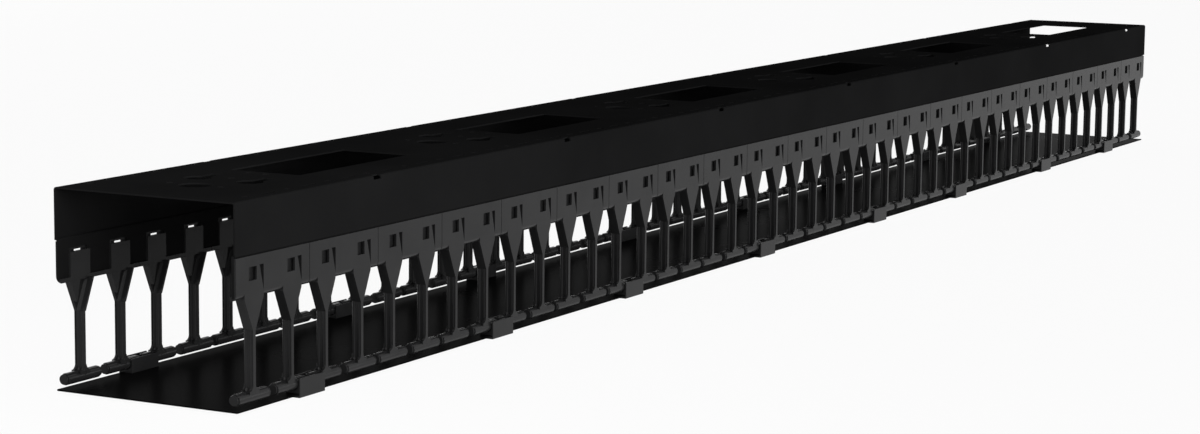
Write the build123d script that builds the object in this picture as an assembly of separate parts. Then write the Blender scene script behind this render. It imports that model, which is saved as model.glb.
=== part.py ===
from build123d import *
import math
import os

# Vertical cable manager: a sheet steel back channel with finger modules snapped on
# both of its lower edges, and a flat steel cover clipped to the ends of the fingers.
# It lies with the cover down and the back web up.
# X runs along the length, Y across the width and Z up, in millimetres. The origin is
# below the middle of the trough, at the level of the undersides of the cover clips.

# Layout along the length
module_count = 22
module_pitch = 88.9
module_gap = 0.3
channel_overhang = 0.75

# Back channel
trough_width = 152.4
steel = 1.2
bend_radius = 2.0
flange_depth = 37.4
shelf_gap = 0.9

# Finger module: the U that grips the steel
plate = 1.8
grip_clearance = 0.1
tab_thickness = 1.9
band_height = 29.5
band_floor = 2.0
band_corner_radius = 4.6
band_corner_flats = 2
lip_height = 3.2
tab_width = 22.0
tab_height = 20.2

# Finger module: openings in its outer plate
window_width = 9.3
window_height = 9.4
window_sill = 12.4
window_offset = 1.5
wedge_top_width = 4.8
wedge_height = 18.3
wedge_offset = 11.4
wedge_top = 22.2

# Finger module: snap barb in the steel's slot
barb_width = 12.0
barb_height = 4.0
barb_clearance = 0.3
snap_slot_width = 20.0
snap_slot_height = 14.0
snap_slot_sill = 9.5

# Fingers
finger_spacing = 46.0
gusset_width = 22.6
gusset_height = 22.2
gusset_rib = 1.5
gusset_pad_start = 0.3
gusset_pad_tip = 8.0
stem_width = 2.9
stem_depth = 7.5
stem_length = 45.9
flare = 3.6

# T-bars at the fingers' ends
bar_diameter = 7.8
bar_length = 39.0
bar_sides = 8

# Cover
sheet = 1.2
sheet_overhang = 0.7
bar_lift = 3.3

# Cover clips
clip_places = (1, 4, 6.5, 9.5, 12.5, 15, 18, 20.5)
clip_length = 31.8
clip_under = 1.7
clip_under_reach = 10.0
clip_wall = 1.3
clip_inner_wall = 1.5
clip_rise = 3.6
saddle_clearance = 0.3
sheet_edge_clearance = 0.15

# Pass-through openings and the mounting holes beside them, one set each bay
bay_count = 6
bay_pitch = 317.5
bay_opening_centre = 220.1
pass_length = 151.0
pass_width = 61.0
mount_hole_diameter = 7.1
small_hole_sides = 8
large_hole_sides = 12
pair_hole_offset = 159.3
pair_hole_spacing = 44.0
middle_hole_offset = 115.0
end_hole_offset = 83.5
end_hole_spacing = 15.0
keyhole_diameter = 21.0
keyhole_slot = 9.0
keyhole_reach = 24.5
keyhole_offset = 125.5
keyhole_spacing = 45.0
knockout_diameter = 25.0
knockout_offset = 160.5

# Rows of holes and slots along both edges of the web
row_inset = 10.2
row_pitch = 50.8
row_start = 28.0
row_hole_diameter = 7.1
row_slot_length = 18.0
row_slot_width = 3.0

# Notches through the bends
notch_start = 176.9
notch_pitch = 284.5
notch_length = 10.0
notch_size = 3.2

# Lengths and places that follow
trough_length = module_count * module_pitch
channel_length = trough_length + 2 * channel_overhang
half_width = trough_width / 2
module_length = module_pitch - module_gap
u_depth = plate + steel + grip_clearance + tab_thickness

sheet_bottom = clip_under
sheet_top = sheet_bottom + sheet
bar_radius = bar_diameter / 2
bar_z = sheet_top + bar_lift + bar_radius
gusset_tip_z = bar_z + stem_length
band_bottom = gusset_tip_z + gusset_height
band_top = band_bottom + band_height
flange_bottom = band_top + shelf_gap
web_top = flange_bottom + flange_depth
wall_bottom = band_bottom + band_floor
finger_places = (-finger_spacing / 2, finger_spacing / 2)
through_web = 4 * steel


def box_between(low, high):
    """A box from its lowest corner to its highest corner."""
    size = [high[i] - low[i] for i in range(3)]
    middle = [(high[i] + low[i]) / 2 for i in range(3)]
    return Pos(*middle) * Box(*size)


def prism_along_x(points, length):
    """An outline of depth and height points, extruded along X about the middle."""
    with BuildPart() as prism:
        with BuildSketch(Plane.YZ.offset(-length / 2)):
            with BuildLine():
                Polyline(*points, close=True)
            make_face()
        extrude(amount=length)
    return prism.part


def plate_along_y(points, depth_from, depth_to):
    """An outline of length and height points, extruded inwards along Y."""
    with BuildPart() as prism:
        with BuildSketch(Plane.XZ.offset(-depth_from)):
            with BuildLine():
                Polyline(*points, close=True)
            make_face()
        extrude(amount=depth_from - depth_to)
    return prism.part


def channel_profile():
    """The channel's section: web, flanges, a step inwards and the gripped walls."""
    side = [
        (half_width - steel, web_top - steel),
        (half_width - steel, flange_bottom + steel),
        (half_width - plate - steel, flange_bottom + steel),
        (half_width - plate - steel, wall_bottom),
        (half_width - plate, wall_bottom),
        (half_width - plate, flange_bottom),
        (half_width, flange_bottom),
        (half_width, web_top),
    ]
    return side + [(-y, z) for y, z in reversed(side)]


def few_sided(x, y, diameter, sides):
    """A cutter for a hole in the web, with few sides because the web has so many holes."""
    outline = Pos(x, y, web_top - through_web / 2) * RegularPolygon(diameter / 2, sides, rotation=180 / sides)
    return extrude(outline, through_web)


def round_hole(x, y, diameter):
    """A cutter for a truly round hole, where something is fastened."""
    return Pos(x, y, web_top) * Cylinder(diameter / 2, through_web)


def oblong(x, y, length, width):
    """A cutter for a four-sided opening in the web."""
    return Pos(x, y, web_top) * Box(length, width, through_web)


def keyhole(x, y):
    """A keyhole cutter: a round head with its slot towards the pass-through."""
    head = few_sided(x, y, keyhole_diameter, large_hole_sides)
    return head + oblong(x + keyhole_reach / 2, y, keyhole_reach, keyhole_slot)


def bay_cutters():
    """What each bay of the web has: an opening, a knock-out, two keyholes and five holes."""
    cutters = []
    for bay in range(bay_count):
        centre = -trough_length / 2 + bay_opening_centre + bay * bay_pitch
        cutters.append(oblong(centre, 0, pass_length, pass_width))
        cutters.append(few_sided(centre - knockout_offset, 0, knockout_diameter, large_hole_sides))
        cutters.append(few_sided(centre - middle_hole_offset, 0, mount_hole_diameter, small_hole_sides))
        for side in (-1, 1):
            cutters.append(keyhole(centre - keyhole_offset, side * keyhole_spacing / 2))
            for offset, spacing in ((pair_hole_offset, pair_hole_spacing), (end_hole_offset, end_hole_spacing)):
                x, y = centre - offset, side * spacing / 2
                if bay in (0, bay_count - 1):
                    cutters.append(round_hole(x, y, mount_hole_diameter))
                else:
                    cutters.append(few_sided(x, y, mount_hole_diameter, small_hole_sides))
    return cutters


def row_cutters():
    """The rows of holes and slots along both edges of the web; the four end holes are mounts."""
    cutters = []
    count = int((trough_length - row_start - row_hole_diameter) // row_pitch) + 1
    for side in (-1, 1):
        y = side * (half_width - row_inset)
        for step in range(count):
            x = -trough_length / 2 + row_start + step * row_pitch
            if step in (0, count - 1):
                cutters.append(round_hole(x, y, row_hole_diameter))
            else:
                cutters.append(few_sided(x, y, row_hole_diameter, small_hole_sides))
            slot_x = x + row_pitch / 2
            if slot_x + row_slot_length < trough_length / 2:
                cutters.append(oblong(slot_x, y, row_slot_length, row_slot_width))
    return cutters


def notch_cutters():
    """The notches through both bends beside the web."""
    count = int((trough_length - notch_start) // notch_pitch) + 1
    return [Pos(-trough_length / 2 + notch_start + step * notch_pitch, side * half_width, web_top)
            * Box(notch_length, 2 * notch_size, 2 * notch_size)
            for side in (-1, 1) for step in range(count)]


def snap_slot_cutters():
    """The slots in the gripped walls that take the fingers' barbs."""
    low = band_bottom + snap_slot_sill
    cutters = []
    for centre in module_centres():
        for finger in finger_places:
            for side in (-1, 1):
                x = centre - side * finger
                y = side * (half_width - plate - steel / 2)
                cutters.append(box_between((x - snap_slot_width / 2, y - steel, low),
                                           (x + snap_slot_width / 2, y + steel, low + snap_slot_height)))
    return cutters


def back_channel():
    """The folded steel channel with every opening in its web, bends and walls."""
    channel = prism_along_x(channel_profile(), channel_length)
    outer_bends = channel.edges().filter_by(Axis.X).filter_by(
        lambda edge: abs(edge.center().Z - web_top) < steel / 10)
    channel = fillet(outer_bends, bend_radius)
    return channel - (bay_cutters() + row_cutters() + notch_cutters() + snap_slot_cutters())


def module_centres():
    """The middle of each module along the length."""
    first = -trough_length / 2 + module_pitch / 2
    return [first + step * module_pitch for step in range(module_count)]


def gusset(middle):
    """A gusset that narrows from the band to the stem, with a pocket on its inner side."""
    top = band_bottom
    half_top = gusset_width / 2
    half_tip = stem_width / 2
    taper = (half_top - half_tip) / gusset_height
    face_top = top + band_corner_radius
    wall = plate_along_y([
        (middle - half_top, face_top), (middle - half_top, top), (middle - half_tip, gusset_tip_z),
        (middle + half_tip, gusset_tip_z), (middle + half_top, top), (middle + half_top, face_top)], 0, plate)
    rib = plate_along_y([
        (middle - half_top, top), (middle - half_tip, gusset_tip_z),
        (middle - half_tip + gusset_rib, gusset_tip_z), (middle - half_top + gusset_rib, top)],
        plate, stem_depth)
    pad = plate_along_y([
        (middle + gusset_pad_start, top), (middle + half_top, top),
        (middle + half_tip + taper * gusset_pad_tip, gusset_tip_z + gusset_pad_tip)],
        plate, u_depth)
    return wall + rib + pad


def finger(middle):
    """One finger below its gusset: a stem that flares into the foot on its T-bar."""
    half = stem_width / 2
    foot_top = bar_z + bar_radius + flare
    stem = plate_along_y([
        (middle - half, gusset_tip_z), (middle - half, foot_top), (middle - half - flare, bar_z),
        (middle + half + flare, bar_z), (middle + half, foot_top), (middle + half, gusset_tip_z)],
        0, stem_depth)
    section = Plane(origin=(middle, bar_radius, bar_z), x_dir=(0, 1, 0), z_dir=(1, 0, 0))
    bar = extrude(section * RegularPolygon(bar_radius, bar_sides), bar_length / 2, both=True)
    return stem + bar


def band_section():
    """The U that grips the steel: plate outside, floor below, low lip inside."""
    turns = [math.radians(180 + 90 * step / band_corner_flats) for step in range(band_corner_flats + 1)]
    corner = [(band_corner_radius * (1 + math.cos(turn)),
               band_bottom + band_corner_radius * (1 + math.sin(turn))) for turn in turns]
    return corner + [
        (u_depth, band_bottom), (u_depth, band_bottom + lip_height),
        (u_depth - tab_thickness, band_bottom + lip_height),
        (u_depth - tab_thickness, wall_bottom), (plate, wall_bottom),
        (plate, band_top), (0, band_top)]


def finger_module():
    """One moulded module: its middle at X 0 and its outer face on Y 0, inwards +Y."""
    module = prism_along_x(band_section(), module_length)
    for middle in finger_places:
        inner_low = (middle - tab_width / 2, u_depth - tab_thickness, band_bottom)
        inner_high = (middle + tab_width / 2, u_depth, band_bottom + tab_height)
        module += box_between(inner_low, inner_high)
        barb_low = band_bottom + snap_slot_sill + barb_clearance
        barb = prism_along_x([
            (plate + grip_clearance, barb_low), (u_depth - tab_thickness, barb_low),
            (u_depth - tab_thickness, barb_low + barb_height)], barb_width)
        module += Pos(middle, 0, 0) * barb
        module += gusset(middle)
        module += finger(middle)
        window_low = band_bottom + window_sill
        module -= box_between(
            (middle - window_offset - window_width / 2, -plate, window_low),
            (middle - window_offset + window_width / 2, plate, window_low + window_height))
        right = middle + wedge_offset
        module -= plate_along_y([
            (right, band_bottom + wedge_top), (right, band_bottom + wedge_top - wedge_height),
            (right - wedge_top_width, band_bottom + wedge_top)], -plate, plate)
    return module


def cover_panel():
    """The flat cover sheet, a little wider than the trough."""
    return box_between(
        (-trough_length / 2, -half_width - sheet_overhang, sheet_bottom),
        (trough_length / 2, half_width + sheet_overhang, sheet_top))


def cover_clip():
    """One clip, outer face towards -Y: it wraps the sheet's edge and cradles the bars."""
    edge = -sheet_overhang - sheet_edge_clearance
    outer = edge - clip_wall
    saddle = bar_radius + saddle_clearance
    top = bar_z + clip_rise
    with BuildPart() as clip:
        with BuildSketch(Plane.YZ.offset(-clip_length / 2)):
            with BuildLine():
                lower = Polyline(
                    (bar_radius - saddle, bar_z), (bar_radius - saddle, top), (outer, top),
                    (outer, sheet_bottom - clip_under), (outer + clip_under_reach, sheet_bottom - clip_under),
                    (outer + clip_under_reach, sheet_bottom), (edge, sheet_bottom), (edge, sheet_top),
                    (bar_radius + saddle + clip_inner_wall, sheet_top),
                    (bar_radius + saddle + clip_inner_wall, top), (bar_radius + saddle, top),
                    (bar_radius + saddle, bar_z))
                ThreePointArc(lower @ 1, (bar_radius, bar_z - saddle), lower @ 0)
            make_face()
        extrude(amount=clip_length)
    return clip.part


def place_near(part, x):
    """Set a part made at the near side's outer face at its place along the length."""
    return Pos(x, -half_width, 0) * part


def place_far(part, x):
    """Set the same part on the far side, turned half round about the vertical."""
    return Pos(x, half_width, 0) * Rot(0, 0, 180) * part


def write(name, shape):
    """Write one node's file."""
    export_step(shape, f"parts/{name}.step")


def main():
    os.makedirs("parts", exist_ok=True)
    write("back_channel", back_channel())
    module = finger_module()
    for number, x in enumerate(module_centres(), start=1):
        write(f"finger_module_near_{number:02d}", place_near(module, x))
        write(f"finger_module_far_{number:02d}", place_far(module, x))
    write("cover_panel", cover_panel())
    clip = cover_clip()
    clip_xs = [-trough_length / 2 + place * module_pitch for place in clip_places]
    write("cover_clips_near", Compound(children=[place_near(clip, x) for x in clip_xs]))
    write("cover_clips_far", Compound(children=[place_far(clip, x) for x in clip_xs]))


main()
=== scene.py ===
"""Dresses the vertical cable manager: folded channel, moulded finger modules, flat cover and its clips.

The frame gives where every piece is. Everything is in metres, +X along the length, +Y across the
width and +Z up. The object lies on its cover, as it is stored.
"""

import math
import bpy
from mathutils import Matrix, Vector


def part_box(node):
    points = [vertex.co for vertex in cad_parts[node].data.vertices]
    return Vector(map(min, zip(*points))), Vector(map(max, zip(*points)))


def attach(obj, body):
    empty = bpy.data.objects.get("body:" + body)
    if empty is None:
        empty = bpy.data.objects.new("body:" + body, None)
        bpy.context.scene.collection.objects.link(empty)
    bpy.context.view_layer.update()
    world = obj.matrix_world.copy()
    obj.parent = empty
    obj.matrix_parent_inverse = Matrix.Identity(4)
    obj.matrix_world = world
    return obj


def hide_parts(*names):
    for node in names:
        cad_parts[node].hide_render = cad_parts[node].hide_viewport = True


bl_info = {
    "name": "Vertical cable manager",
    "version": (1, 0, 0),
    "blender": (4, 5, 0),
    "location": "3D View > Sidebar > Cable manager",
    "description": "Models and finishes the pieces of a vertical cable manager around its frame",
    "category": "Object",
}

from contextlib import contextmanager

import bmesh
import bpy
from bpy.props import FloatProperty, FloatVectorProperty, IntProperty, PointerProperty
from mathutils import Matrix, Vector

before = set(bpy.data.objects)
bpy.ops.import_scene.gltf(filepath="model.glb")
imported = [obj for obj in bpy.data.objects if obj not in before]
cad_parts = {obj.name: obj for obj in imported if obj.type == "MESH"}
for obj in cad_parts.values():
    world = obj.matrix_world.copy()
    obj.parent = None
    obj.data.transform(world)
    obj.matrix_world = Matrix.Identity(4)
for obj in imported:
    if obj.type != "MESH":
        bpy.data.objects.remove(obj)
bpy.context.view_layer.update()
CHANNEL_LOW, CHANNEL_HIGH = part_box("back_channel")
MODULE_LOW, MODULE_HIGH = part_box("finger_module_near_01")
SHEET_LOW, SHEET_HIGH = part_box("cover_panel")
CLIPS_LOW, CLIPS_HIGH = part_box("cover_clips_near")
MODULE_COUNT = sum(name.startswith("finger_module_near_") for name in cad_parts)

# A module is as wide across as its bars, and the bars are its lowest form.
BAR_AXIS = (MODULE_LOW + MODULE_HIGH) / 2
BAR_AXIS.z = MODULE_LOW.z + (MODULE_HIGH.y - MODULE_LOW.y) / 2

HALF_WIDTH = CHANNEL_HIGH.y
TROUGH_LENGTH = SHEET_HIGH.x - SHEET_LOW.x
MODULE_PITCH = TROUGH_LENGTH / MODULE_COUNT
SIDES = ("near", "far")
BOTH_WAYS = (-1, 1)

# Lengths that differ by less than this are the same, in metres.
SAME = 1e-5
# A direction lies along an axis from this much of it upwards.
ALONG = 0.9

# How many flats stand for each round form.
HOLE_SIDES = 20
ROW_HOLE_SIDES = 16
KEYHOLE_SIDES = 28
KNOCKOUT_SIDES = 32
STEM_SIDES = 24
CONE_SIDES = 22
FLARE_SIDES = 40
BAR_SIDES = 32
NECK_SIDES = 24
SADDLE_SIDES = 40

# Where the two grooves run along a bar, in degrees about its axis, from +Y up.
GROOVE_PLACES = (42, 132)
# Faces that meet at more than this many degrees keep a crisp edge between them.
CRISP_ANGLE = 16


def length(name, description, default):
    """A size that a user may change, in metres."""
    return FloatProperty(name=name, description=description, default=default, min=0.0,
                         unit="LENGTH", precision=5)


def colour(name, description, default):
    """A linear colour that a user may change."""
    return FloatVectorProperty(name=name, description=description, default=default, min=0.0, max=1.0,
                               size=3, subtype="COLOR")


def share(name, description, default):
    """A number from 0 to 1."""
    return FloatProperty(name=name, description=description, default=default, min=0.0, max=1.0,
                         subtype="FACTOR")


class ChannelSizes(bpy.types.PropertyGroup):
    """Sizes of the folded steel channel and of everything cut in it."""

    steel: length("Steel", "Thickness of the folded sheet", 0.0012)
    bend: length("Bend", "Outer radius of the bends beside the web", 0.002)
    shelf_bend: length("Shelf bend", "Outer radius of the small bends at the shelf", 0.0005)
    shelf_height: length("Shelf height", "Height of the undersides of the side flanges", 0.1086)
    shelf_step: length("Shelf step", "How far the gripped walls stand in from the flanges", 0.0018)
    bay_count: IntProperty(name="Bays", description="Openings in a row along the web", default=6, min=1)
    bay_pitch: length("Bay pitch", "From one opening's middle to the next", 0.3175)
    bay_start: length("Bay start", "From the trough's end to the first opening's middle", 0.2201)
    pass_length: length("Opening length", "Length of a cable opening", 0.151)
    pass_width: length("Opening width", "Width of a cable opening", 0.061)
    pass_corner: length("Opening corner", "Corner radius of a cable opening", 0.0015)
    hole: length("Mounting hole", "Diameter of the mounting holes", 0.0071)
    pair_offset: length("Pair offset", "From the pair of holes to the opening's middle", 0.1593)
    pair_spacing: length("Pair spacing", "Across the pair of holes", 0.044)
    middle_offset: length("Middle offset", "From the middle hole to the opening's middle", 0.1150)
    end_offset: length("End offset", "From the two end holes to the opening's middle", 0.0835)
    end_spacing: length("End spacing", "Across the two end holes", 0.015)
    keyhole: length("Keyhole head", "Diameter of a keyhole's head", 0.021)
    keyhole_slot: length("Keyhole slot", "Width of a keyhole's slot", 0.009)
    keyhole_reach: length("Keyhole reach", "From the head's middle to the slot's end", 0.0245)
    keyhole_offset: length("Keyhole offset", "From the keyholes to the opening's middle", 0.1255)
    keyhole_spacing: length("Keyhole spacing", "Across the two keyholes", 0.045)
    knockout: length("Knock-out", "Diameter of the knock-out", 0.025)
    knockout_offset: length("Knock-out offset", "From the knock-out to the opening's middle", 0.1605)
    row_inset: length("Row inset", "From the side to a row of small holes", 0.0102)
    row_pitch: length("Row pitch", "From one small hole to the next", 0.0508)
    row_start: length("Row start", "From the trough's end to the first small hole", 0.028)
    row_slot_length: length("Row slot length", "Length of the slots between the small holes", 0.018)
    row_slot_width: length("Row slot width", "Width of the slots between the small holes", 0.003)
    notch_start: length("Notch start", "From the trough's end to the first notch", 0.1769)
    notch_pitch: length("Notch pitch", "From one notch to the next", 0.2845)
    notch_length: length("Notch length", "Length of the notches through the bends", 0.010)
    notch_size: length("Notch size", "How far a notch cuts in from the bend", 0.0032)
    snap_width: length("Snap slot width", "Width of the slots for the fingers' barbs", 0.020)
    snap_height: length("Snap slot height", "Height of the slots for the fingers' barbs", 0.014)
    snap_sill: length("Snap slot sill", "From the band's underside to a snap slot", 0.0095)


class FingerSizes(bpy.types.PropertyGroup):
    """Sizes of one moulded finger module."""

    plate: length("Plate", "Thickness of the outer plate", 0.0018)
    tab: length("Tab", "Thickness of the inner tabs", 0.0019)
    grip: length("Grip", "Width of the slot that takes the steel", 0.0013)
    band: length("Band", "Height of the outer plate", 0.0295)
    floor: length("Floor", "Thickness under the steel", 0.002)
    corner: length("Corner", "Radius of the band's lower outer corner", 0.0046)
    lip: length("Lip", "Height of the inner lip between the tabs", 0.0032)
    tab_width: length("Tab width", "Width of an inner tab", 0.022)
    tab_height: length("Tab height", "Height of an inner tab", 0.0210)
    spacing: length("Finger spacing", "From one finger to the next", 0.046)
    window_width: length("Window width", "Width of the square windows", 0.0093)
    window_height: length("Window height", "Height of the square windows", 0.0094)
    window_sill: length("Window sill", "From the band's underside to a window", 0.0124)
    window_offset: length("Window offset", "From a finger's middle to its window's", 0.0015)
    wedge_width: length("Wedge width", "Width of the wedge slots at the top", 0.0048)
    wedge_height: length("Wedge height", "Height of the wedge slots", 0.0183)
    wedge_offset: length("Wedge offset", "From a finger's middle to its wedge's upright side", 0.0114)
    wedge_top: length("Wedge top", "From the band's underside to a wedge's top", 0.0222)
    barb_width: length("Barb width", "Width of the barb behind a tab", 0.012)
    barb_height: length("Barb height", "Height of the barb's ramp", 0.004)
    barb_sill: length("Barb sill", "From the band's underside to a barb", 0.0098)
    barb_gap: length("Barb gap", "Between a barb and the outer plate", 0.0001)
    barb_ramp: share("Barb ramp", "Share of a barb's height that its outer edge drops", 0.85)
    gusset_width: length("Gusset width", "Width of a gusset at the band", 0.0226)
    gusset_height: length("Gusset height", "Height of a gusset", 0.0222)
    gusset_web: length("Gusset web", "Thickness of a gusset's outer wall", 0.0022)
    wall_reach: length("Wall reach", "How far a gusset's outer wall reaches into the band's floor", 0.0018)
    face_depth: length("Face depth", "Thickness of the filler under the band's rounded corner", 0.00144)
    rib: length("Rib", "Thickness of the rib along a gusset's edge", 0.0016)
    cove: length("Cove", "Size of the hollow corner in the pocket beside the rib", 0.0026)
    cove_cut: share("Cove cut", "Share of the hollow corner that its slope takes away", 0.65)
    rib_depth: length("Rib depth", "From the outer face to the rib's inner edge", 0.0082)
    pad_start: length("Pad start", "From a finger's middle to its pad", 0.0003)
    pad_height: length("Pad height", "How far a pad reaches down", 0.0150)
    stem_width: length("Stem width", "Width of a stem", 0.003)
    stem_depth: length("Stem depth", "Depth of a stem", 0.0083)
    stem_strip: length("Stem strip", "Thickness of the flat strip on a stem's outer face", 0.0007)
    stem_neck: length("Stem neck", "Width of a stem between its two rounds", 0.0014)
    flare: length("Flare", "Radius of the foot where a stem meets its bar", 0.004)
    foot_plate: length("Foot plate", "Thickness of the foot's two flared plates", 0.0016)
    cone_height: length("Cone height", "Height of the cones where a stem's rounds meet the bar", 0.0028)
    cone_base: length("Cone base", "Radius of those cones at the bar", 0.0024)
    cone_tip: length("Cone tip", "Radius of those cones inside the stem", 0.0009)
    cone_sink: length("Cone sink", "How far those cones reach into the bar", 0.00028)
    bar_length: length("Bar length", "Length of a bar with its end discs", 0.039)
    bar_radius: length("Bar radius", "Radius of a bar", 0.0043)
    bar_bottom: length("Bar bottom", "Height of a bar's lowest line", 0.0055)
    bar_edge: length("Bar edge", "Radius of the edges at a bar's ends", 0.00048)
    disc: length("End disc", "Thickness of a bar's end discs", 0.0009)
    disc_radius: length("Disc radius", "Radius of a bar's end discs", 0.0037)
    disc_edge: length("Disc edge", "Radius of the end discs' edges", 0.00024)
    neck: length("End neck", "Width of the groove behind an end disc", 0.0007)
    neck_radius: length("Neck radius", "Radius of the groove behind an end disc", 0.0030)
    groove: length("Bar groove", "Depth of the grooves along a bar", 0.0008)
    edge: length("Edge", "Radius of the moulded edges", 0.0003)
    seam: length("Seam", "How far a finger stands in from the band's faces, to fuse cleanly", 0.00003)


class CoverSizes(bpy.types.PropertyGroup):
    """Sizes of the cover's clips and edges."""

    clip_length: length("Clip length", "Length of a clip", 0.0318)
    clip_wall: length("Clip wall", "Thickness of a clip's outer wall", 0.0013)
    clip_reach: length("Clip reach", "How far a clip reaches under the sheet", 0.010)
    saddle_clearance: length("Saddle clearance", "Between a bar and a clip's saddle", 0.00015)
    clip_edge: length("Clip edge", "Radius of a clip's moulded edges", 0.0004)
    sheet_edge: length("Sheet edge", "Radius of the coated sheet's edges", 0.0002)
    sheet_corner: length("Sheet corner", "Radius of the sheet's corners", 0.0010)


class FinishValues(bpy.types.PropertyGroup):
    """Colours and gloss of the powder coat and of the moulded plastic."""

    steel_colour: colour("Channel coat", "Colour of the channel's powder coat", (0.0108, 0.0108, 0.0110))
    steel_roughness: share("Channel roughness", "Roughness of the channel's powder coat", 0.80)
    steel_gloss: share("Channel gloss", "Specular level of the channel's powder coat", 0.0)
    cover_colour: colour("Cover coat", "Colour of the cover's powder coat", (0.0045, 0.0045, 0.0046))
    cover_roughness: share("Cover roughness", "Roughness of the cover's powder coat", 0.28)
    cover_gloss: share("Cover gloss", "Specular level of the cover's powder coat", 0.0004)
    plastic_colour: colour("Plastic", "Colour of the moulded plastic", (0.0160, 0.0160, 0.0164))
    plastic_roughness: share("Plastic roughness", "Roughness of the moulded plastic", 0.22)
    plastic_gloss: share("Plastic gloss", "Specular level of the moulded plastic", 0.09)


class StudioValues(bpy.types.PropertyGroup):
    """Camera, floor and lamps."""

    camera_place: FloatVectorProperty(name="Camera place", description="Where the camera stands",
                                      default=(-2.5859, -1.2132, 0.4129), subtype="TRANSLATION",
                                      unit="LENGTH")
    heading: FloatProperty(name="Heading", description="Camera's direction, turned from +X towards +Y",
                           default=math.radians(28.14), subtype="ANGLE")
    tilt: FloatProperty(name="Tilt", description="How far the camera looks down",
                        default=math.radians(7.985), subtype="ANGLE")
    roll: FloatProperty(name="Roll", description="Camera's turn about its own line of sight",
                        default=math.radians(0.59), subtype="ANGLE")
    lens: FloatProperty(name="Lens", description="Focal length in millimetres", default=88.42, min=1.0,
                        subtype="DISTANCE_CAMERA")
    floor_size: length("Floor", "Side of the square floor", 40.0)
    floor_colour: colour("Floor colour", "Colour of the pale floor", (0.90, 0.90, 0.90))
    floor_share: share("Floor share", "Share of the floor's own shading that the camera sees", 0.06)
    room_light: FloatProperty(name="Room light", description="Strength of the light from all round",
                              default=0.15, min=0.0)
    side_power: FloatProperty(name="Side power", description="Power of the wide lamp beside the object",
                              default=200.0, min=0.0, unit="POWER")
    back_power: FloatProperty(name="Back power", description="Power of the wide lamp on the far side",
                              default=110.0, min=0.0, unit="POWER")
    front_power: FloatProperty(name="Front power", description="Power of the lamp beside the camera",
                               default=60.0, min=0.0, unit="POWER")
    top_power: FloatProperty(name="Top power", description="Power of the lamp above the near end",
                             default=4.0, min=0.0, unit="POWER")


def deselect_all():
    """Object mode, with nothing selected."""
    if bpy.context.object and bpy.context.object.mode != "OBJECT":
        bpy.ops.object.mode_set(mode="OBJECT")
    bpy.ops.object.select_all(action="DESELECT")


def take(piece):
    """Make a piece the only one selected, and the active one."""
    deselect_all()
    piece.select_set(True)
    bpy.context.view_layer.objects.active = piece


def block(name, low, high):
    """A block from its lowest corner to its highest corner, ready to shape."""
    deselect_all()
    middle = [(a + b) / 2 for a, b in zip(low, high)]
    size = [b - a for a, b in zip(low, high)]
    bpy.ops.mesh.primitive_cube_add(size=1, location=middle, scale=size)
    bpy.ops.object.transform_apply(location=True, rotation=True, scale=True)
    bpy.context.object.name = name
    return bpy.context.object


def rod(name, middle, radius, depth, axis, sides):
    """A round bar along one axis, ready to shape."""
    deselect_all()
    turn = {"X": (0, math.pi / 2, 0), "Y": (math.pi / 2, 0, 0), "Z": (0, 0, 0)}[axis]
    bpy.ops.mesh.primitive_cylinder_add(vertices=sides, radius=radius, depth=depth, location=middle,
                                        rotation=turn)
    bpy.ops.object.transform_apply(location=True, rotation=True, scale=True)
    bpy.context.object.name = name
    return bpy.context.object


@contextmanager
def editing(piece, kind):
    """Edit mode on one piece, with nothing selected."""
    take(piece)
    bpy.ops.object.mode_set(mode="EDIT")
    bpy.ops.mesh.select_mode(type=kind)
    bpy.ops.mesh.select_all(action="DESELECT")
    yield
    bpy.ops.object.mode_set(mode="OBJECT")


def pick(piece, kind, test):
    """Select, in edit mode, the faces or edges that pass a test of their middle and direction."""
    mesh = bmesh.from_edit_mesh(piece.data)
    found = 0
    for part in {"FACE": mesh.faces, "EDGE": mesh.edges}[kind]:
        if kind == "EDGE":
            middle = (part.verts[0].co + part.verts[1].co) / 2
            way = (part.verts[1].co - part.verts[0].co).normalized()
        else:
            middle, way = part.calc_center_median(), part.normal
        if test(middle, way):
            part.select_set(True)
            found += 1
    mesh.select_flush_mode()
    bmesh.update_edit_mesh(piece.data)
    if not found:
        raise RuntimeError(f"{piece.name} has nothing to shape there")


def near_to(value, target):
    """Whether two lengths are the same."""
    return abs(value - target) < SAME


def along(part):
    """Whether a direction lies along an axis, from its part along that axis."""
    return abs(part) > ALONG


def runs_at(y, z):
    """A test for the edges along the length at one place across and up."""
    return lambda m, w: near_to(m.y, y) and near_to(m.z, z) and along(w.x)


def faces_up(m, w):
    """A test for the faces that look up."""
    return w.z > ALONG


def faces_down(m, w):
    """A test for the faces that look down."""
    return w.z < -ALONG


def slide(piece, test, move):
    """Move the edges of a piece that pass a test."""
    with editing(piece, "EDGE"):
        pick(piece, "EDGE", test)
        bpy.ops.transform.translate(value=move)


def slant(piece, across):
    """Slant a piece: slide its lower end along X."""
    with editing(piece, "FACE"):
        pick(piece, "FACE", faces_down)
        bpy.ops.transform.translate(value=(across, 0, 0))


def finish_modifier(piece, kind, **settings):
    """Add a modifier to a piece and apply it."""
    take(piece)
    bpy.ops.object.modifier_add(type=kind)
    modifier = piece.modifiers[-1]
    for setting, value in settings.items():
        setattr(modifier, setting, value)
    bpy.ops.object.modifier_apply(modifier=modifier.name)


def join(name, pieces):
    """Several pieces as one object."""
    deselect_all()
    for piece in pieces:
        piece.select_set(True)
    bpy.context.view_layer.objects.active = pieces[0]
    bpy.ops.object.join()
    pieces[0].name = name
    return pieces[0]


def combine(piece, other, operation):
    """Cut another solid from a piece, or fuse it on, and drop the other."""
    finish_modifier(piece, "BOOLEAN", operation=operation, solver="EXACT", object=other)
    bpy.data.meshes.remove(other.data)


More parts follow.
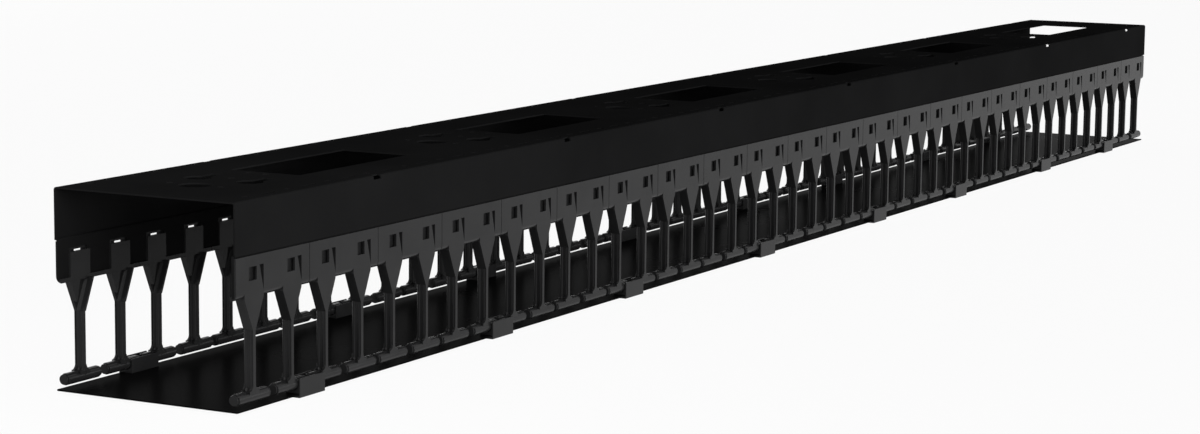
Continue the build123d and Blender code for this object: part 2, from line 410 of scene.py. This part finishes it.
def round_edges(piece, radius, angle=40):
    """Round the sharp edges of a piece a little, as coating or moulding leaves them."""
    finish_modifier(piece, "BEVEL", width=radius, segments=2, limit_method="ANGLE",
                    angle_limit=math.radians(angle), use_clamp_overlap=True)


def smooth(piece):
    """Smooth shading, with crisp edges where faces meet sharply and flats that stay flat."""
    take(piece)
    bpy.ops.object.shade_smooth_by_angle(angle=math.radians(CRISP_ANGLE))
    finish_modifier(piece, "WEIGHTED_NORMAL", keep_sharp=True)


def moved_copy(piece, name, matrix):
    """A copy of a piece with its own mesh, set at its place."""
    take(piece)
    bpy.ops.object.duplicate(linked=False)
    copy = bpy.context.object
    copy.name = name
    copy.data.name = name
    copy.data.transform(matrix)
    copy.data.update()
    return copy


def hand_over(piece, material, body, node):
    """Finish a piece: its material, its body and the frame's node that it stands for."""
    piece.data.materials.clear()
    piece.data.materials.append(material)
    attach(piece, body)
    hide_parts(node)


def link(tree, source, output, target, into):
    """Join two nodes of a material."""
    tree.links.new(source.outputs[output], target.inputs[into])


def new_node(tree, kind, **values):
    """A node with its values set."""
    node = tree.nodes.new(kind)
    for name, value in values.items():
        if name in node.inputs:
            node.inputs[name].default_value = value
        else:
            setattr(node, name, value)
    return node


def grained_finish(name, base, roughness, gloss, grain, peel, depth, mottle):
    """A black finish with a fine grain, a wider unevenness and slight variation in colour and gloss."""
    tint_spread, roughness_spread = 0.14, 0.035
    material = bpy.data.materials.new(name)
    material.use_nodes = True
    tree = material.node_tree
    tree.nodes.clear()
    output = new_node(tree, "ShaderNodeOutputMaterial")
    shader = new_node(tree, "ShaderNodeBsdfPrincipled")
    shader.inputs["Specular IOR Level"].default_value = gloss
    link(tree, shader, "BSDF", output, "Surface")
    place = new_node(tree, "ShaderNodeTexCoord")

    cloud = new_node(tree, "ShaderNodeTexNoise", Scale=mottle, Detail=3.0, Roughness=0.55)
    link(tree, place, "Object", cloud, "Vector")
    tint = new_node(tree, "ShaderNodeValToRGB")
    tint.color_ramp.elements[0].position = 0.30
    tint.color_ramp.elements[1].position = 0.72
    tint.color_ramp.elements[0].color = (*[c * (1 - tint_spread) for c in base], 1.0)
    tint.color_ramp.elements[1].color = (*[c * (1 + tint_spread) for c in base], 1.0)
    link(tree, cloud, "Fac", tint, "Fac")
    link(tree, tint, "Color", shader, "Base Color")
    spread = new_node(tree, "ShaderNodeMapRange")
    spread.inputs["To Min"].default_value = roughness - roughness_spread
    spread.inputs["To Max"].default_value = roughness + roughness_spread
    link(tree, cloud, "Fac", spread, "Value")
    link(tree, spread, "Result", shader, "Roughness")

    fine = new_node(tree, "ShaderNodeTexNoise", Scale=grain, Detail=2.0, Roughness=0.5)
    wide = new_node(tree, "ShaderNodeTexNoise", Scale=peel, Detail=1.0, Roughness=0.5)
    link(tree, place, "Object", fine, "Vector")
    link(tree, place, "Object", wide, "Vector")
    first = new_node(tree, "ShaderNodeBump", Strength=0.35, Distance=depth)
    second = new_node(tree, "ShaderNodeBump", Strength=0.5, Distance=depth)
    link(tree, wide, "Fac", first, "Height")
    link(tree, fine, "Fac", second, "Height")
    link(tree, first, "Normal", second, "Normal")
    link(tree, second, "Normal", shader, "Normal")
    return material


def channel_coat(values):
    """Fine matte black powder coat of the channel."""
    return grained_finish("powder_coat", values.steel_colour, values.steel_roughness, values.steel_gloss,
                          grain=1400.0, peel=260.0, depth=0.00003, mottle=9.0)


def cover_coat(values):
    """Powder coat of the cover sheet, a little smoother."""
    return grained_finish("cover_coat", values.cover_colour, values.cover_roughness, values.cover_gloss,
                          grain=1400.0, peel=260.0, depth=0.00002, mottle=7.0)


def moulded_plastic(values):
    """Satin black plastic with the fine texture of its mould."""
    found = bpy.data.materials.get("moulded_plastic")
    if found:
        return found
    return grained_finish("moulded_plastic", values.plastic_colour, values.plastic_roughness,
                          values.plastic_gloss, grain=2200.0, peel=420.0, depth=0.00002, mottle=30.0)


def folded_channel(s):
    """The sheet folded along its length: web, flanges, shelves and gripped walls."""
    deselect_all()
    bpy.ops.mesh.primitive_plane_add(size=1, location=(0, 0, CHANNEL_HIGH.z))
    channel = bpy.context.object
    channel.scale = (CHANNEL_HIGH.x - CHANNEL_LOW.x, 2 * HALF_WIDTH, 1)
    bpy.ops.object.transform_apply(location=True, rotation=True, scale=True)
    channel.name = "back_channel_dressed"
    wall = HALF_WIDTH - s.shelf_step
    folds = ((0, s.shelf_height - CHANNEL_HIGH.z, HALF_WIDTH, CHANNEL_HIGH.z),
             (-s.shelf_step, 0, HALF_WIDTH, s.shelf_height),
             (0, CHANNEL_LOW.z - s.shelf_height, wall, s.shelf_height))
    for side in BOTH_WAYS:
        for across, down, y, z in folds:
            with editing(channel, "EDGE"):
                pick(channel, "EDGE", runs_at(side * y, z))
                bpy.ops.mesh.extrude_region_move(TRANSFORM_OT_translate={"value": (0, side * across, down)})
    for radius, segments, y, z in ((s.bend, 6, HALF_WIDTH, CHANNEL_HIGH.z),
                                   (s.shelf_bend, 2, HALF_WIDTH, s.shelf_height),
                                   (s.shelf_bend, 2, wall, s.shelf_height)):
        with editing(channel, "EDGE"):
            pick(channel, "EDGE", lambda m, w: near_to(abs(m.y), y) and near_to(m.z, z) and along(w.x))
            bpy.ops.mesh.bevel(offset=radius, segments=segments, affect="EDGES")
    with editing(channel, "FACE"):
        bpy.ops.mesh.select_all(action="SELECT")
        bpy.ops.mesh.normals_make_consistent(inside=False)
    if max(channel.data.polygons, key=lambda face: face.area).normal.z < 0:
        with editing(channel, "FACE"):
            bpy.ops.mesh.select_all(action="SELECT")
            bpy.ops.mesh.flip_normals()
    finish_modifier(channel, "SOLIDIFY", thickness=s.steel, offset=-1, use_even_offset=True)
    return channel


def web_cutter_parts(s):
    """Cutters for the web in two lots, because the keyholes' slots overlap their heads."""
    top = CHANNEL_HIGH.z
    start = -TROUGH_LENGTH / 2
    deep = 3 * s.steel

    def through(x, y, long, wide):
        return block("cutter", (x - long / 2, y - wide / 2, top - deep),
                     (x + long / 2, y + wide / 2, top + deep))

    def round_hole(x, y, diameter, sides=HOLE_SIDES):
        return rod("cutter", (x, y, top), diameter / 2, 2 * deep, "Z", sides)

    first, second = [], []
    for bay in range(s.bay_count):
        x = start + s.bay_start + bay * s.bay_pitch
        opening = through(x, 0, s.pass_length, s.pass_width)
        with editing(opening, "EDGE"):
            pick(opening, "EDGE", lambda m, w: along(w.z))
            bpy.ops.mesh.bevel(offset=s.pass_corner, segments=3, affect="EDGES")
        first.append(opening)
        first.append(round_hole(x - s.middle_offset, 0, s.hole))
        first.append(round_hole(x - s.knockout_offset, 0, s.knockout, KNOCKOUT_SIDES))
        for side in BOTH_WAYS:
            first.append(round_hole(x - s.pair_offset, side * s.pair_spacing / 2, s.hole))
            first.append(round_hole(x - s.end_offset, side * s.end_spacing / 2, s.hole))
            y = side * s.keyhole_spacing / 2
            first.append(round_hole(x - s.keyhole_offset, y, s.keyhole, KEYHOLE_SIDES))
            slot_x = x - s.keyhole_offset + s.keyhole_reach / 2
            second.append(through(slot_x, y, s.keyhole_reach, s.keyhole_slot))

    row_count = int((TROUGH_LENGTH - s.row_start - s.hole) // s.row_pitch) + 1
    notch_count = int((TROUGH_LENGTH - s.notch_start) // s.notch_pitch) + 1
    for side in BOTH_WAYS:
        y = side * (HALF_WIDTH - s.row_inset)
        for step in range(row_count):
            x = start + s.row_start + step * s.row_pitch
            first.append(round_hole(x, y, s.hole, ROW_HOLE_SIDES))
            slot_x = x + s.row_pitch / 2
            if slot_x + s.row_slot_length < TROUGH_LENGTH / 2:
                first.append(through(slot_x, y, s.row_slot_length, s.row_slot_width))
        for step in range(notch_count):
            x = start + s.notch_start + step * s.notch_pitch
            half, wide, bend_y = s.notch_length / 2, s.notch_size, side * HALF_WIDTH
            first.append(block("cutter", (x - half, bend_y - wide, top - wide),
                               (x + half, bend_y + wide, top + wide)))
    return first, second


def snap_slot_cutters(s, fingers):
    """Cutters for the slots that take the fingers' barbs."""
    low = MODULE_HIGH.z - fingers.band + s.snap_sill
    wall = HALF_WIDTH - s.shelf_step - s.steel / 2
    half = s.snap_width / 2
    parts = []
    for number in range(MODULE_COUNT):
        centre = -TROUGH_LENGTH / 2 + (number + 0.5) * MODULE_PITCH
        for finger in finger_middles(fingers):
            for side in BOTH_WAYS:
                x, y = centre + finger, side * wall
                parts.append(block("cutter", (x - half, y - s.steel, low),
                                   (x + half, y + s.steel, low + s.snap_height)))
    return parts


def finger_middles(f):
    """Where a module's two fingers stand along it, from its middle."""
    return -f.spacing / 2, f.spacing / 2


def finger_band(f):
    """The band of a module: a U that grips the steel, with tabs, windows, wedges and barbs."""
    half = (MODULE_HIGH.x - MODULE_LOW.x) / 2
    top = MODULE_HIGH.z
    low = top - f.band
    depth = f.plate + f.grip + f.tab
    inner = f.plate + f.grip / 2
    past, over = 2 * half, top + f.band
    band = block("finger_module", (-half, 0, low), (half, depth, top))
    with editing(band, "EDGE"):
        pick(band, "EDGE", runs_at(0, low))
        bpy.ops.mesh.bevel(offset=f.corner, segments=6, affect="EDGES")
    round_edges(band, f.edge)
    grip = block("cutter", (-past, f.plate, low + f.floor), (past, f.plate + f.grip, over))
    combine(band, grip, "DIFFERENCE")
    above = block("cutter", (-past, inner, low + f.tab_height), (past, 2 * depth, over))
    combine(band, above, "DIFFERENCE")
    edges = [-past]
    for middle in finger_middles(f):
        edges += [middle - f.tab_width / 2, middle + f.tab_width / 2]
    edges.append(past)
    gaps = [block("cutter", (left, inner, low + f.lip), (right, 2 * depth, over))
            for left, right in zip(edges[::2], edges[1::2])]
    combine(band, join("cutter", gaps), "DIFFERENCE")

    openings = []
    for middle in finger_middles(f):
        openings.append(window_cutter(f, middle, low + f.window_sill, inner))
        openings.append(wedge_cutter(f, middle + f.wedge_offset, low + f.wedge_top, inner))
    combine(band, join("cutter", openings), "DIFFERENCE")
    barbs = [tab_barb(f, middle, low + f.barb_sill, depth) for middle in finger_middles(f)]
    combine(band, join("barbs", barbs), "UNION")
    return band


def window_cutter(f, middle, sill, inner):
    """Cutter for a square window, a little to one side of its finger."""
    window = middle - f.window_offset
    return block("cutter", (window - f.window_width / 2, -f.plate, sill),
                 (window + f.window_width / 2, inner, sill + f.window_height))


def wedge_cutter(f, right, top, inner):
    """Cutter for a wedge slot that narrows to a point below, its upright side on the right."""
    wedge = block("cutter", (right - f.wedge_width, -f.plate, top - f.wedge_height), (right, inner, top))
    slide(wedge, lambda m, w: along(w.y) and m.z < top - f.wedge_height / 2
          and m.x < right - f.wedge_width / 2, (f.wedge_width, 0, 0))
    with editing(wedge, "EDGE"):
        bpy.ops.mesh.select_all(action="SELECT")
        bpy.ops.mesh.remove_doubles(threshold=SAME)
    return wedge


def tab_barb(f, middle, low, depth):
    """A barb on a tab's outer side, with a ramp that drops towards the steel."""
    barb = block("barb", (middle - f.barb_width / 2, f.plate + f.barb_gap, low),
                 (middle + f.barb_width / 2, depth - f.tab / 2, low + f.barb_height))
    slide(barb, lambda m, w: along(w.x) and m.z > low + f.barb_height / 2 and m.y < depth / 2,
          (0, 0, -f.barb_height * f.barb_ramp))
    return barb


def gusset(f, band_low, tip):
    """A gusset that narrows to the stem: outer wall, deep rib along one edge, pad flush with the tab.

    What meets the band ends inside its floor, because solids fuse cleanly only where no faces touch.
    """
    half_top, half_tip = f.gusset_width / 2, f.stem_width / 2
    depth = f.plate + f.grip + f.tab - 2 * f.seam
    slope = half_top - half_tip
    inside_floor = band_low + f.floor / 2
    wall = block("finger", (-half_top, 0, tip), (half_top, f.gusset_web, band_low))
    with editing(wall, "FACE"):
        pick(wall, "FACE", faces_down)
        bpy.ops.transform.resize(value=(half_tip / half_top, 1, 1), center_override=(0, 0, tip))
        bpy.ops.mesh.select_all(action="DESELECT")
        pick(wall, "FACE", faces_up)
        bpy.ops.mesh.extrude_region_move(TRANSFORM_OT_translate={"value": (0, 0, f.wall_reach)})
    face_top = band_low + f.corner + f.edge
    face = block("face", (-half_top, 0, inside_floor), (half_top, f.face_depth, face_top))
    combine(wall, face, "UNION")

    inside = f.gusset_web / 2
    rib = block("rib", (-half_top, inside, tip), (-half_top + f.rib, f.rib_depth, inside_floor))
    slant(rib, slope)
    round_edges(rib, f.edge)
    cove = block("cove", (-half_top + f.rib / 2, inside, tip + f.edge),
                 (-half_top + f.rib + f.cove, f.gusset_web + f.cove, inside_floor - f.edge))
    cut = f.cove * f.cove_cut
    slide(cove, lambda m, w: along(w.z) and m.x > -half_top + f.rib and m.y > f.gusset_web, (-cut, -cut, 0))
    slant(cove, slope)
    combine(wall, rib, "UNION")
    combine(wall, cove, "UNION")

    low = band_low - f.pad_height
    shift = slope * f.pad_height / f.gusset_height
    pad = block("pad", (f.pad_start, inside, low), (half_top, depth, band_low))
    slide(pad, lambda m, w: along(w.y) and m.z < low + f.edge and m.x > half_top / 2, (-shift, 0, 0))
    slide(pad, lambda m, w: along(w.y) and m.z < low + f.edge and near_to(m.x, f.pad_start),
          (half_top - shift - f.pad_start - 2 * f.edge, 0, 0))
    with editing(pad, "FACE"):
        pick(pad, "FACE", faces_up)
        bpy.ops.mesh.extrude_region_move(TRANSFORM_OT_translate={"value": (0, 0, f.floor / 2)})
    combine(wall, pad, "UNION")
    return wall


def stem(f, bar_z, tip):
    """A stem of two rounds with a groove between them, and a flat strip on its outer face."""
    radius = f.stem_width / 2
    middle = (tip + bar_z) / 2
    tall = tip - bar_z
    column = block("stem", (-f.stem_neck / 2, f.stem_strip / 2, bar_z),
                   (f.stem_neck / 2, f.stem_depth - radius, tip + f.edge))
    strip = block("strip", (-radius, 0, bar_z + radius / 2), (radius, f.stem_strip, tip + f.edge / 2))
    combine(column, strip, "UNION")
    for y in (f.stem_strip + radius, f.stem_depth - radius):
        combine(column, rod("round", (0, y, middle + f.edge), radius, tall, "Z", STEM_SIDES), "UNION")
    return column


def foot(f, bar_z):
    """The foot: an outer and an inner plate that flare from the stem to its bar in hollow curves."""
    half = f.stem_width / 2
    top = bar_z + f.bar_radius + f.flare
    plates = []
    reach = half + f.flare
    for low, high in ((0, f.foot_plate), (f.stem_depth - f.foot_plate, f.stem_depth - f.edge)):
        plate = block("foot", (-reach, low, bar_z + half / 2), (reach, high, top - f.edge))
        for side in BOTH_WAYS:
            middle = (side * reach, (low + high) / 2, top)
            combine(plate, rod("cutter", middle, f.flare, 2 * f.foot_plate, "Y", FLARE_SIDES), "DIFFERENCE")
        plates.append(plate)
    cone_z = bar_z + f.bar_radius - f.cone_sink + f.cone_height / 2
    for y in (f.stem_strip + half, f.stem_depth - half):
        deselect_all()
        bpy.ops.mesh.primitive_cone_add(vertices=CONE_SIDES, radius1=f.cone_base, radius2=f.cone_tip,
                                        depth=f.cone_height, location=(0, y, cone_z))
        bpy.ops.object.transform_apply(location=True, rotation=True, scale=True)
        plates.append(bpy.context.object)
    return plates


def bar(f, bar_y, bar_z):
    """A bar along the trough, grooved along its length, with a disc behind a groove at each end."""
    body = f.bar_length - 2 * (f.disc + f.neck)
    piece = rod("bar", (0, bar_y, bar_z), f.bar_radius, body, "X", BAR_SIDES)
    round_edges(piece, f.bar_edge, angle=60)
    shift = Matrix.Translation((0, bar_y, bar_z))
    for degrees in GROOVE_PLACES:
        cutter = block("cutter", (-body, f.bar_radius - f.groove, -f.groove),
                       (body, 2 * f.bar_radius, f.groove))
        cutter.data.transform(shift @ Matrix.Rotation(math.radians(degrees), 4, "X"))
        combine(piece, cutter, "DIFFERENCE")
    ends = []
    neck_long, disc_x = 2 * f.neck + f.disc, (f.bar_length - f.disc) / 2
    for side in BOTH_WAYS:
        neck = rod("neck", (side * body / 2, bar_y, bar_z), f.neck_radius, neck_long, "X", NECK_SIDES)
        disc = rod("disc", (side * disc_x, bar_y, bar_z), f.disc_radius, f.disc, "X", BAR_SIDES)
        round_edges(disc, f.disc_edge, angle=60)
        combine(neck, disc, "UNION")
        ends.append(neck)
    combine(piece, join("ends", ends), "UNION")
    return piece


def finger_module(f):
    """One whole module, its middle on X 0 and its outer face on Y 0."""
    bar_y = BAR_AXIS.y + HALF_WIDTH
    bar_z = f.bar_bottom + f.bar_radius
    band_low = MODULE_HIGH.z - f.band
    tip = band_low - f.gusset_height
    one = gusset(f, band_low, tip)
    combine(one, stem(f, bar_z, tip), "UNION")
    for plate in foot(f, bar_z):
        combine(one, plate, "UNION")
    combine(one, bar(f, bar_y, bar_z), "UNION")
    pair = [moved_copy(one, "finger", Matrix.Translation((x, f.seam, 0))) for x in finger_middles(f)]
    bpy.data.meshes.remove(one.data)
    module = finger_band(f)
    combine(module, join("fingers", pair), "UNION")
    smooth(module)
    return module


def cover_clip(c, f):
    """One clip on the near side, its middle on X 0: it wraps the sheet's edge and cradles the bars."""
    half = c.clip_length / 2
    past = c.clip_length
    bar_y, bar_z = BAR_AXIS.y, BAR_AXIS.z
    saddle = bar_z - f.bar_bottom + c.saddle_clearance
    outer = CLIPS_LOW.y
    inner = 2 * CLIPS_HIGH.y - outer
    clip = block("clip", (-half, outer, CLIPS_LOW.z), (half, CLIPS_HIGH.y, CLIPS_HIGH.z))
    under = block("cutter", (-past, outer + c.clip_reach, CLIPS_LOW.z - c.clip_wall),
                  (past, inner, SHEET_LOW.z + c.clip_wall / 2))
    combine(clip, under, "DIFFERENCE")
    sheet = block("cutter", (-past, outer + c.clip_wall, SHEET_LOW.z), (past, inner, SHEET_HIGH.z))
    combine(clip, sheet, "DIFFERENCE")
    cradle = rod("cutter", (0, bar_y, bar_z), saddle, 2 * past, "X", SADDLE_SIDES)
    combine(clip, cradle, "DIFFERENCE")
    mouth = block("cutter", (-past, bar_y - saddle, bar_z), (past, bar_y + saddle, 2 * CLIPS_HIGH.z))
    combine(clip, mouth, "DIFFERENCE")
    round_edges(clip, c.clip_edge)
    smooth(clip)
    return clip


def turned_half():
    """Half a turn about the vertical, for the far side."""
    return Matrix.Rotation(math.pi, 4, "Z")


class CABLE_MANAGER_OT_back_channel(bpy.types.Operator):
    """Model the folded steel channel with everything cut in it"""

    bl_idname = "cable_manager.back_channel"
    bl_label = "Back channel"

    def execute(self, context):
        sizes = context.scene.channel_sizes
        channel = folded_channel(sizes)
        first, second = web_cutter_parts(sizes)
        first += snap_slot_cutters(sizes, context.scene.finger_sizes)
        combine(channel, join("cutter", first), "DIFFERENCE")
        combine(channel, join("cutter", second), "DIFFERENCE")
        smooth(channel)
        coat = channel_coat(context.scene.finish_values)
        hand_over(channel, coat, "trough", "back_channel")
        return {"FINISHED"}


class CABLE_MANAGER_OT_finger_modules(bpy.types.Operator):
    """Model one finger module and set a copy at every place on both sides"""

    bl_idname = "cable_manager.finger_modules"
    bl_label = "Finger modules"

    def execute(self, context):
        module = finger_module(context.scene.finger_sizes)
        plastic = moulded_plastic(context.scene.finish_values)
        for side in SIDES:
            for number in range(1, MODULE_COUNT + 1):
                node = f"finger_module_{side}_{number:02d}"
                low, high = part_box(node)
                middle = (low.x + high.x) / 2
                place = Matrix.Translation((middle, -HALF_WIDTH, 0))
                if side == "far":
                    place = Matrix.Translation((middle, HALF_WIDTH, 0)) @ turned_half()
                copy = moved_copy(module, f"fingers_{side}_{number:02d}", place)
                hand_over(copy, plastic, "trough", node)
        bpy.data.meshes.remove(module.data)
        return {"FINISHED"}


class CABLE_MANAGER_OT_cover_sheet(bpy.types.Operator):
    """Model the flat cover sheet with its rounded corners and coated edges"""

    bl_idname = "cable_manager.cover_sheet"
    bl_label = "Cover sheet"

    def execute(self, context):
        sizes = context.scene.cover_sizes
        sheet = block("cover_sheet", SHEET_LOW, SHEET_HIGH)
        with editing(sheet, "EDGE"):
            pick(sheet, "EDGE", lambda m, w: along(w.z))
            bpy.ops.mesh.bevel(offset=sizes.sheet_corner, segments=4, affect="EDGES")
        round_edges(sheet, sizes.sheet_edge, angle=60)
        smooth(sheet)
        hand_over(sheet, cover_coat(context.scene.finish_values), "cover", "cover_panel")
        return {"FINISHED"}


class CABLE_MANAGER_OT_cover_clips(bpy.types.Operator):
    """Model one cover clip and set a copy at every place on both sides"""

    bl_idname = "cable_manager.cover_clips"
    bl_label = "Cover clips"

    def execute(self, context):
        sizes = context.scene.cover_sizes
        clip = cover_clip(sizes, context.scene.finger_sizes)
        plastic = moulded_plastic(context.scene.finish_values)
        for side in SIDES:
            node = f"cover_clips_{side}"
            middles = clip_middles(node, sizes.clip_length)
            turn = Matrix.Identity(4) if side == "near" else turned_half()
            copies = [moved_copy(clip, "clip", Matrix.Translation((x, 0, 0)) @ turn) for x in middles]
            hand_over(join(f"clips_{side}", copies), plastic, "cover", node)
        bpy.data.meshes.remove(clip.data)
        return {"FINISHED"}


def clip_middles(node, long):
    """The middle of each clip along the length, from the ends of the clips in the frame's node."""
    ends = sorted({round(v.co.x, 5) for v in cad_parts[node].data.vertices})
    middles = []
    for x in ends:
        if not middles or x > middles[-1] + long:
            middles.append(x + long / 2)
    return middles


class CABLE_MANAGER_OT_studio(bpy.types.Operator):
    """Set up the camera, the pale floor and the soft lamps"""

    bl_idname = "cable_manager.studio"
    bl_label = "Studio"

    def execute(self, context):
        values = context.scene.studio_values
        place_camera(values)
        pale_floor(values)
        room(values)
        soft_lamp("side_lamp", values.side_power,
                  place=(0.5, -4.5, 0.75), aim=(0.5, 0, 0.75), size=(8.0, 1.3))
        soft_lamp("back_lamp", values.back_power,
                  place=(0.3, 4.5, 1.0), aim=(0.3, 0, 0.8), size=(6.0, 1.6))
        soft_lamp("front_lamp", values.front_power,
                  place=(-5.0, -3.4, 1.2), aim=(-0.3, 0, 0.05), size=(2.5, 1.8))
        soft_lamp("top_lamp", values.top_power,
                  place=(-1.5, -0.25, 0.75), aim=(-1.1, 0, 0.1), size=(0.6, 0.6))
        context.scene.view_settings.view_transform = "Standard"
        return {"FINISHED"}


def place_camera(values):
    """The camera at the photograph's viewing angle."""
    deselect_all()
    bpy.ops.object.camera_add(location=values.camera_place)
    camera = bpy.context.object
    turn = (Matrix.Rotation(values.heading - math.pi / 2, 3, "Z")
            @ Matrix.Rotation(math.pi / 2 - values.tilt, 3, "X")
            @ Matrix.Rotation(values.roll, 3, "Z"))
    camera.rotation_euler = turn.to_euler()
    camera.data.lens = values.lens
    camera.data.sensor_width = 36.0
    camera.data.clip_end = 100.0
    bpy.context.scene.camera = camera


def seen_rays(tree):
    """One where a ray comes from the camera, a reflection or glass, and nothing elsewhere."""
    path = new_node(tree, "ShaderNodeLightPath")
    some = new_node(tree, "ShaderNodeMath", operation="MAXIMUM")
    link(tree, path, "Is Camera Ray", some, 0)
    link(tree, path, "Is Glossy Ray", some, 1)
    every = new_node(tree, "ShaderNodeMath", operation="MAXIMUM")
    link(tree, some, "Value", every, 0)
    link(tree, path, "Is Transmission Ray", every, 1)
    return every


def pale_floor(values):
    """A pale floor, nearly clear to the camera: it shows faint shadows, and what swings below it."""
    deselect_all()
    bpy.ops.mesh.primitive_plane_add(size=values.floor_size, location=(0, 0, 0))
    floor = bpy.context.object
    floor.name = "floor"
    material = bpy.data.materials.new("pale_floor")
    material.use_nodes = True
    tree = material.node_tree
    tree.nodes.clear()
    output = new_node(tree, "ShaderNodeOutputMaterial")
    matt = new_node(tree, "ShaderNodeBsdfDiffuse")
    matt.inputs["Color"].default_value = (*values.floor_colour, 1.0)
    clear = new_node(tree, "ShaderNodeBsdfTransparent")
    amount = new_node(tree, "ShaderNodeMath", operation="MULTIPLY")
    amount.inputs[1].default_value = 1.0 - values.floor_share
    link(tree, seen_rays(tree), "Value", amount, 0)
    mix = new_node(tree, "ShaderNodeMixShader")
    link(tree, amount, "Value", mix, 0)
    link(tree, matt, "BSDF", mix, 1)
    link(tree, clear, "BSDF", mix, 2)
    link(tree, mix, "Shader", output, "Surface")
    floor.data.materials.append(material)


def room(values):
    """Even light from all round, white where it is seen."""
    world = bpy.data.worlds.new("room")
    world.use_nodes = True
    bpy.context.scene.world = world
    tree = world.node_tree
    tree.nodes.clear()
    output = new_node(tree, "ShaderNodeOutputWorld")
    lit = new_node(tree, "ShaderNodeBackground", Strength=values.room_light)
    white = new_node(tree, "ShaderNodeBackground", Strength=1.0)
    lit.inputs["Color"].default_value = (1.0, 1.0, 1.0, 1.0)
    white.inputs["Color"].default_value = (1.0, 1.0, 1.0, 1.0)
    mix = new_node(tree, "ShaderNodeMixShader")
    link(tree, seen_rays(tree), "Value", mix, 0)
    link(tree, lit, "Background", mix, 1)
    link(tree, white, "Background", mix, 2)
    link(tree, mix, "Shader", output, "Surface")


def soft_lamp(name, power, place, aim, size):
    """A large soft lamp that looks at a point."""
    deselect_all()
    bpy.ops.object.light_add(type="AREA", location=place)
    lamp = bpy.context.object
    lamp.name = name
    lamp.data.shape = "RECTANGLE"
    lamp.data.size, lamp.data.size_y = size
    lamp.data.energy = power
    lamp.rotation_euler = (Vector(aim) - Vector(place)).to_track_quat("-Z", "Y").to_euler()


class CABLE_MANAGER_PT_panel(bpy.types.Panel):
    """Lists the pieces in the order in which they are made"""

    bl_label = "Cable manager"
    bl_idname = "CABLE_MANAGER_PT_panel"
    bl_space_type = "VIEW_3D"
    bl_region_type = "UI"
    bl_category = "Cable manager"

    def draw(self, context):
        for operator in OPERATORS:
            self.layout.operator(operator.bl_idname)


GROUPS = {
    "channel_sizes": ChannelSizes,
    "finger_sizes": FingerSizes,
    "cover_sizes": CoverSizes,
    "finish_values": FinishValues,
    "studio_values": StudioValues,
}
OPERATORS = (
    CABLE_MANAGER_OT_back_channel,
    CABLE_MANAGER_OT_finger_modules,
    CABLE_MANAGER_OT_cover_sheet,
    CABLE_MANAGER_OT_cover_clips,
    CABLE_MANAGER_OT_studio,
)


def register():
    """Add the sizes, the operators and the panel to Blender."""
    for name, group in GROUPS.items():
        bpy.utils.register_class(group)
        setattr(bpy.types.Scene, name, PointerProperty(type=group))
    for operator in OPERATORS:
        bpy.utils.register_class(operator)
    bpy.utils.register_class(CABLE_MANAGER_PT_panel)


def unregister():
    """Take them out again, the last first."""
    bpy.utils.unregister_class(CABLE_MANAGER_PT_panel)
    for operator in reversed(OPERATORS):
        bpy.utils.unregister_class(operator)
    for name, group in reversed(GROUPS.items()):
        delattr(bpy.types.Scene, name)
        bpy.utils.unregister_class(group)


def main():
    """Make every piece and the studio."""
    register()
    bpy.ops.cable_manager.back_channel()
    bpy.ops.cable_manager.finger_modules()
    bpy.ops.cable_manager.cover_sheet()
    bpy.ops.cable_manager.cover_clips()
    bpy.ops.cable_manager.studio()
    deselect_all()


if __name__ == "__main__":
    main()
